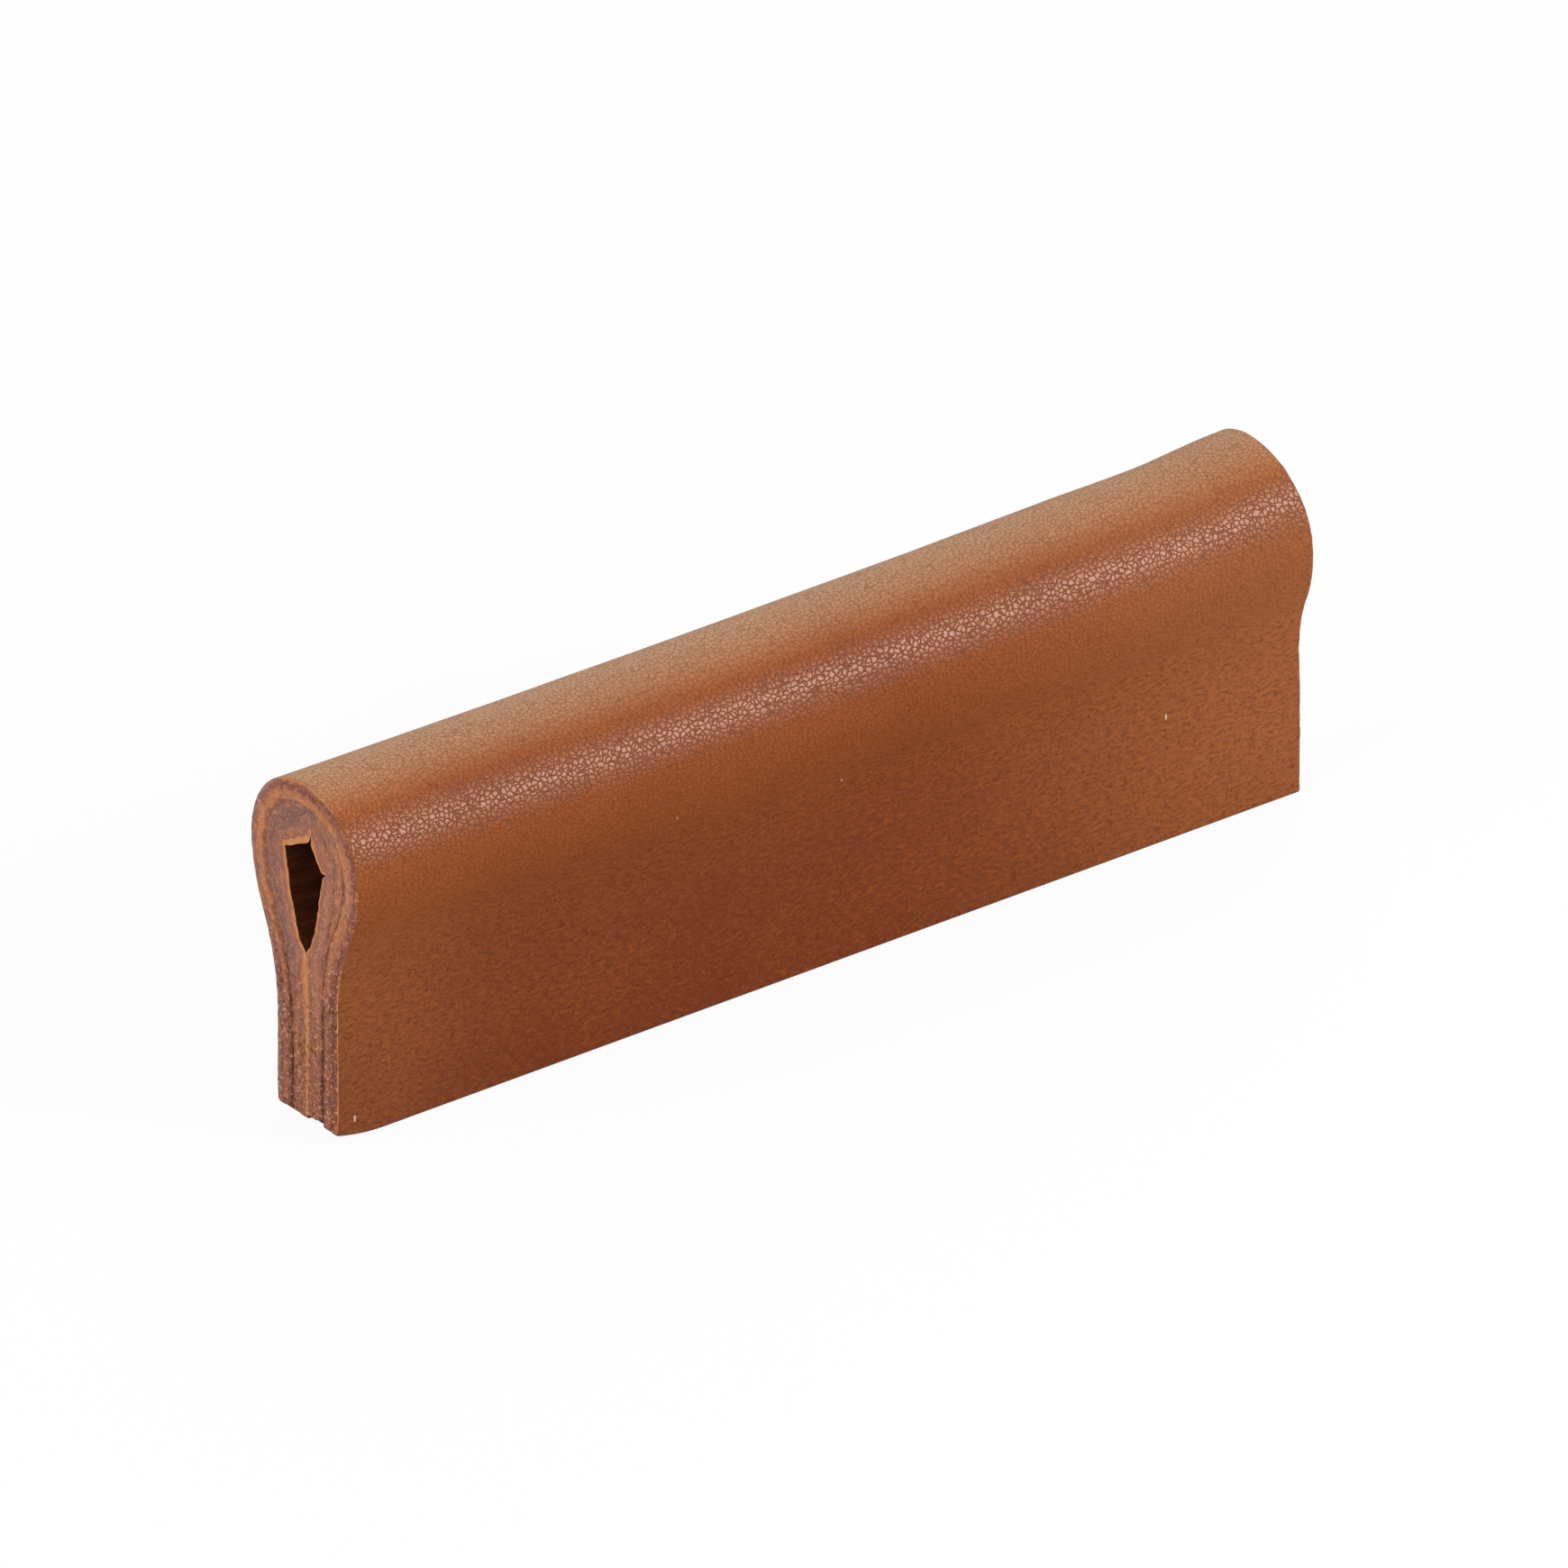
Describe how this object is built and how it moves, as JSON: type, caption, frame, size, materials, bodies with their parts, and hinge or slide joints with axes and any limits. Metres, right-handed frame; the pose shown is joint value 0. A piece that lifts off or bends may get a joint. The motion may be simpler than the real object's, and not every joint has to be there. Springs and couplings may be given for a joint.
{
  "type": "leather strap pull",
  "caption": "Folded leather pull for a door or drawer: a long looped grip over two glued legs that are screwed on from behind.",
  "frame": {"origin": "Middle of the overall length and width, in the plane of the underside that sits on the door or drawer.", "axes": "+X along the pull, from its left end to its right end. +Z away from the door, from the underside to the looped grip. -Y is the front face."},
  "size_m": [0.1, 0.0152, 0.032],
  "materials": {
    "grain_leather": "satin",
    "lining_leather": "matte",
    "insert_brass": "satin"
  },
  "bodies": {
    "root": {"outer_leather": "grain_leather", "inner_leather": "lining_leather", "left_threaded_insert": "insert_brass", "right_threaded_insert": "insert_brass"}
  },
  "joints": []
}
